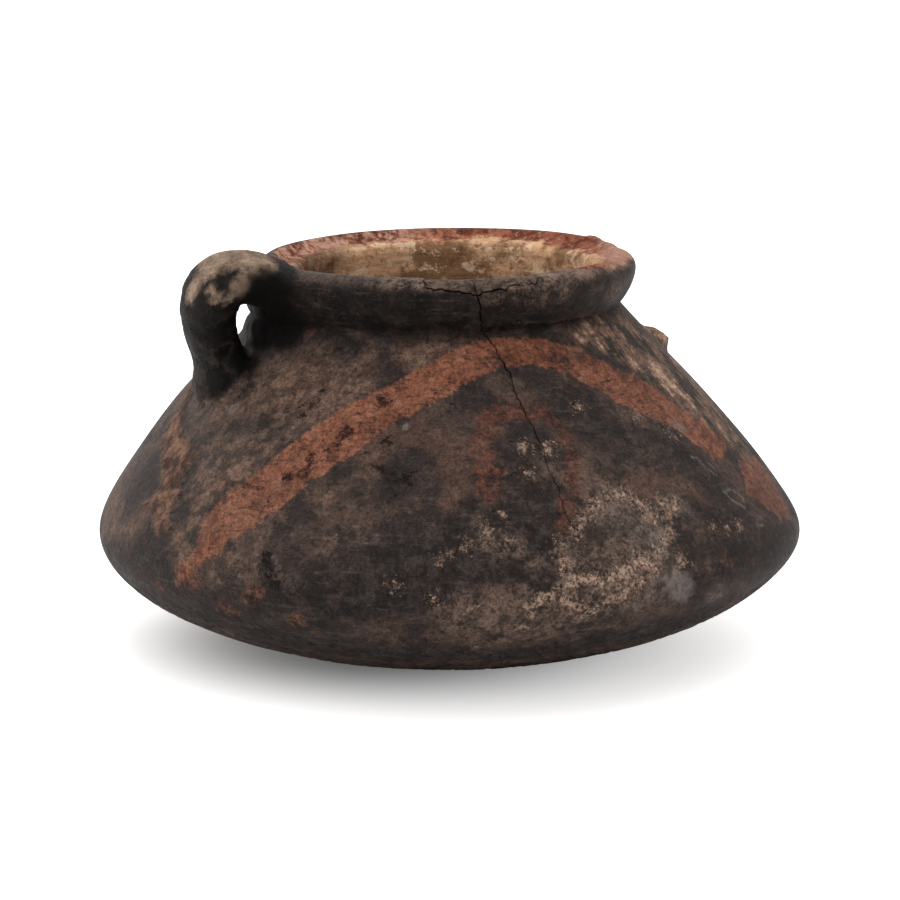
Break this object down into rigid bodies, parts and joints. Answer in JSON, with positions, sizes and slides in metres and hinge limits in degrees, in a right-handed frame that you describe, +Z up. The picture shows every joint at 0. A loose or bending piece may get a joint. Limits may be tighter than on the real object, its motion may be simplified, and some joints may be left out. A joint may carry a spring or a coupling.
{
  "type": "handled jar",
  "caption": "Squat hand-built clay jar with a sharp shoulder, rolled lip, one loop handle and the stub of its lost twin, dark burnished with red painted bands.",
  "frame": {"origin": "centre of the flat underside that the jar stands on", "axes": "+Z up the jar's axis; -Y towards the front, where the lip is chipped and cracked; +X to the right, so the handle is at the left front"},
  "size_m": [0.2206, 0.2184, 0.1305],
  "materials": {
    "burnished_clay": "dark brown to black smoke-clouded low-fired clay, burnished to a satin, with iron-red painted bands, a red lip and cream to tan crusts"
  },
  "bodies": {
    "root": {"handled_jar": "burnished_clay"}
  },
  "joints": []
}
